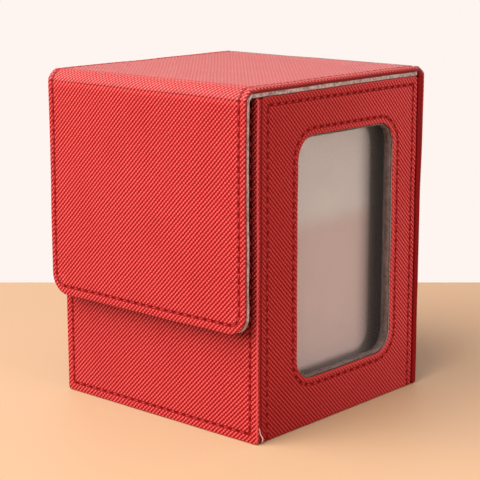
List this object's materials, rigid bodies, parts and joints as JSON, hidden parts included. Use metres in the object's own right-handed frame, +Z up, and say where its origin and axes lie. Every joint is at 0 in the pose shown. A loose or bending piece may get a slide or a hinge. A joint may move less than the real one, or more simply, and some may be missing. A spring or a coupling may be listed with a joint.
{
  "type": "card deck box",
  "caption": "Upright leather-covered card box with a hinged lid, a magnetic front flap and a side window over a display-card pocket.",
  "frame": {"origin": "centre of the footprint on the surface that the box stands on, flap and stitching included", "axes": "+Z up, -Y out of the front flap, +X out of the window"},
  "size_m": [0.08, 0.0852, 0.1032],
  "materials": {
    "leather": "satin",
    "thread": "satin",
    "lining": "matte",
    "board": "matte",
    "pane": "gloss",
    "magnet": "polished"
  },
  "bodies": {
    "case": {"front_leather": "leather", "front_board": "board", "front_lining": "lining", "front_magnets": "magnet", "front_stitching": "thread", "floor_leather": "leather", "floor_board": "board", "floor_lining": "lining", "back_leather": "leather", "back_board": "board", "back_lining": "lining", "back_stitching": "thread", "window_side_leather": "leather", "window_side_board": "board", "window_side_lining": "lining", "window_edge_lining": "lining", "window_pane": "pane", "window_side_stitching": "thread", "window_stitching": "thread", "plain_side_leather": "leather", "plain_side_board": "board", "plain_side_lining": "lining", "plain_side_stitching": "thread", "divider_board": "board", "divider_lining": "lining", "hinge_leather": "leather", "hinge_lining": "lining"},
    "lid": {"lid_leather": "leather", "lid_board": "board", "lid_lining": "lining", "lid_stitching": "thread", "fold_leather": "leather", "fold_lining": "lining"},
    "flap": {"flap_leather": "leather", "flap_board": "board", "flap_lining": "lining", "flap_magnets": "magnet", "flap_stitching": "thread"}
  },
  "joints": [
    {"name": "lid_hinge", "type": "hinge", "parent": "case", "child": "lid", "pos_m": [0, 0.0414, 0.1021], "axis": [-1, 0, 0], "range_deg": [0, 180], "deforming": ["hinge_leather", "hinge_lining"]},
    {"name": "flap_fold", "type": "hinge", "parent": "lid", "child": "flap", "pos_m": [0, -0.0407, 0.1014], "axis": [-1, 0, 0], "range_deg": [-2, 110], "deforming": ["fold_leather", "fold_lining"]}
  ]
}
